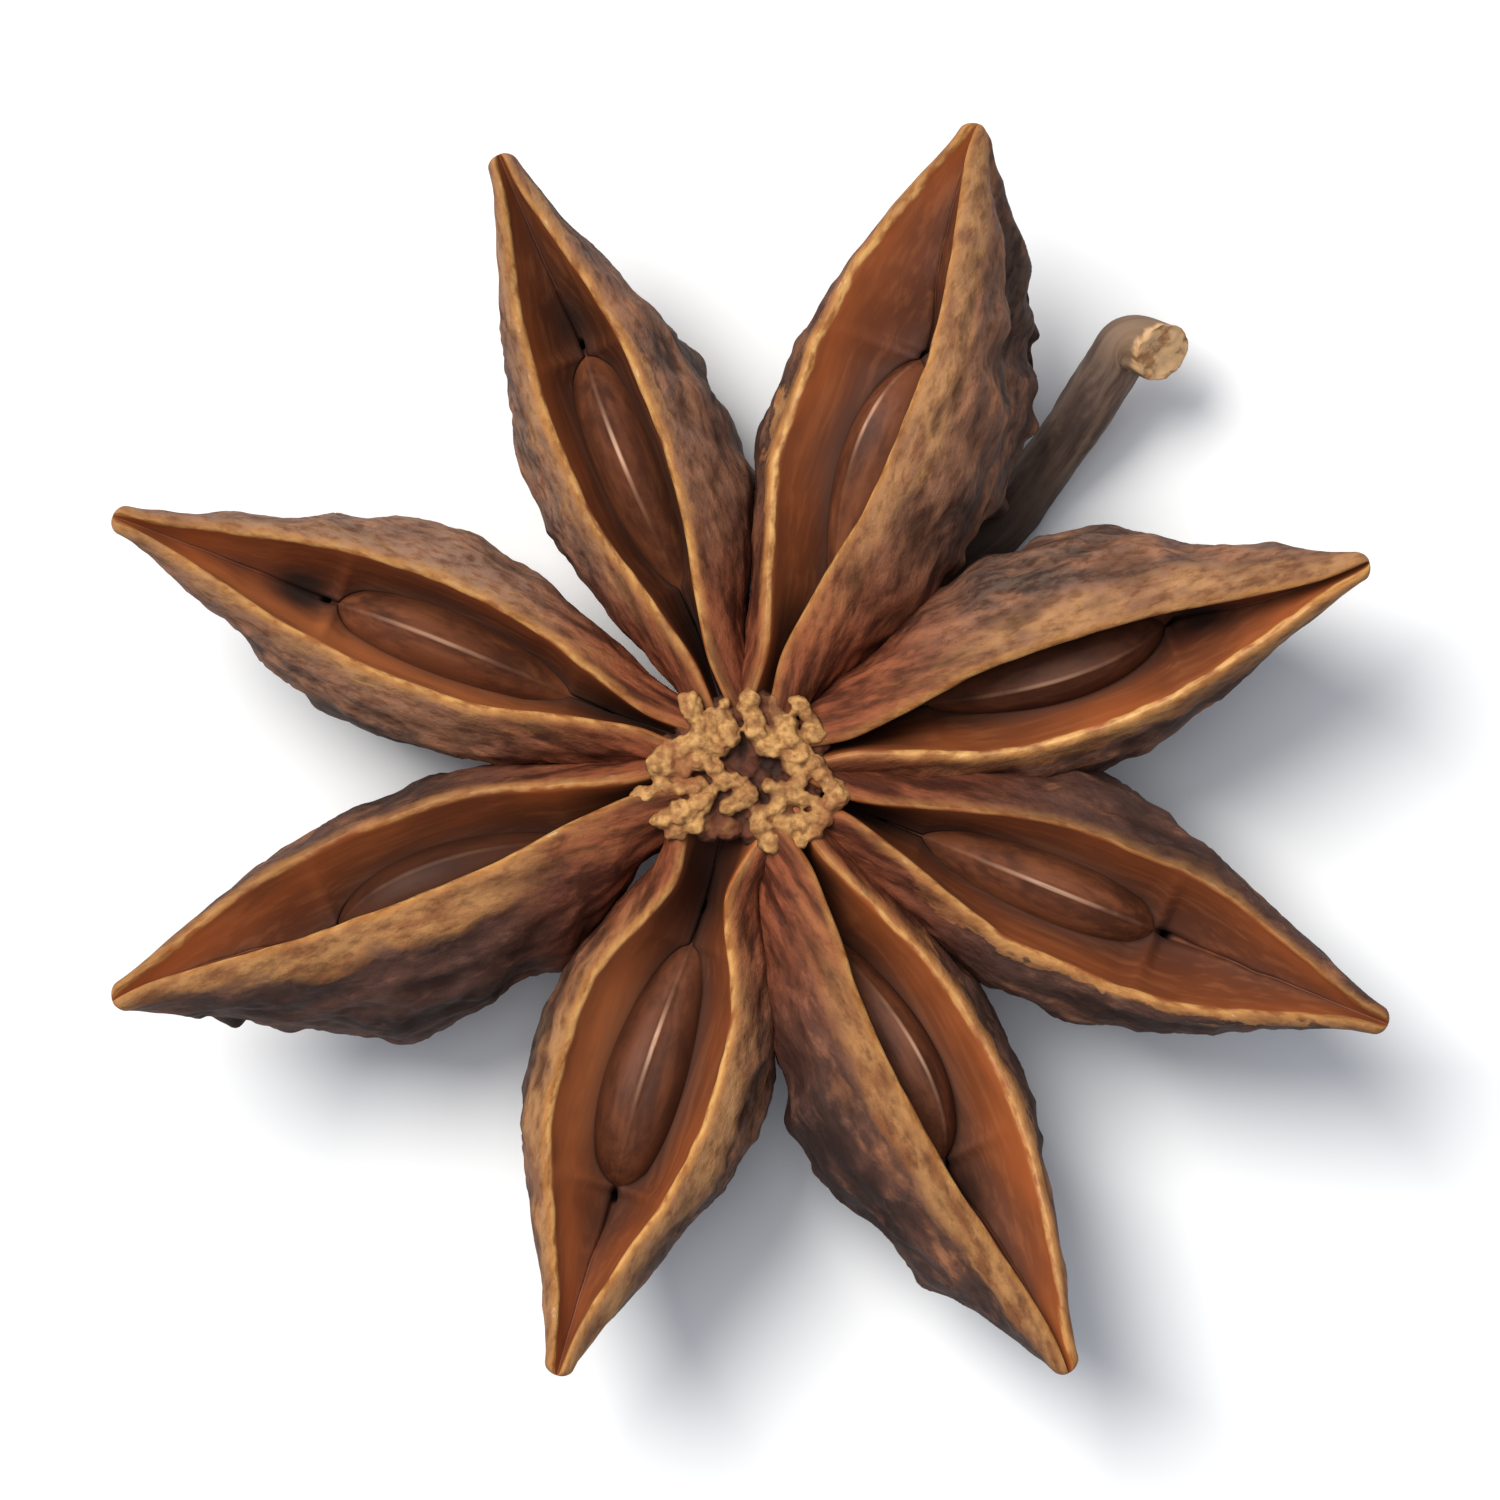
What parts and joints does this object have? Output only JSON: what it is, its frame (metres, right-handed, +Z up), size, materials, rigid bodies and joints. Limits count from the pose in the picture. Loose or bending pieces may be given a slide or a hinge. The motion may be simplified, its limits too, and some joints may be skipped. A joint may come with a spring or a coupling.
{
  "type": "star anise",
  "caption": "Dried woody star of open boat-shaped pods round a torn central column, each pod holding a glossy seed, with a short curved stalk underneath.",
  "frame": {"origin": "on the surface the star lies on, under the middle of its bounding box", "axes": "+Z up, the way the open seams of the pods face; +X and +Y in the plane of the star, with the stalk coming out between them"},
  "size_m": [0.0346, 0.0338, 0.0099],
  "materials": {
    "husk": "dry wrinkled skin, smooth satin lining inside the pods",
    "seed": "glossy hard seed coat"
  },
  "bodies": {
    "root": {"husk": "husk", "seed_a": "seed", "seed_b": "seed", "seed_c": "seed", "seed_d": "seed", "seed_e": "seed", "seed_f": "seed", "seed_g": "seed", "seed_h": "seed"}
  },
  "joints": []
}
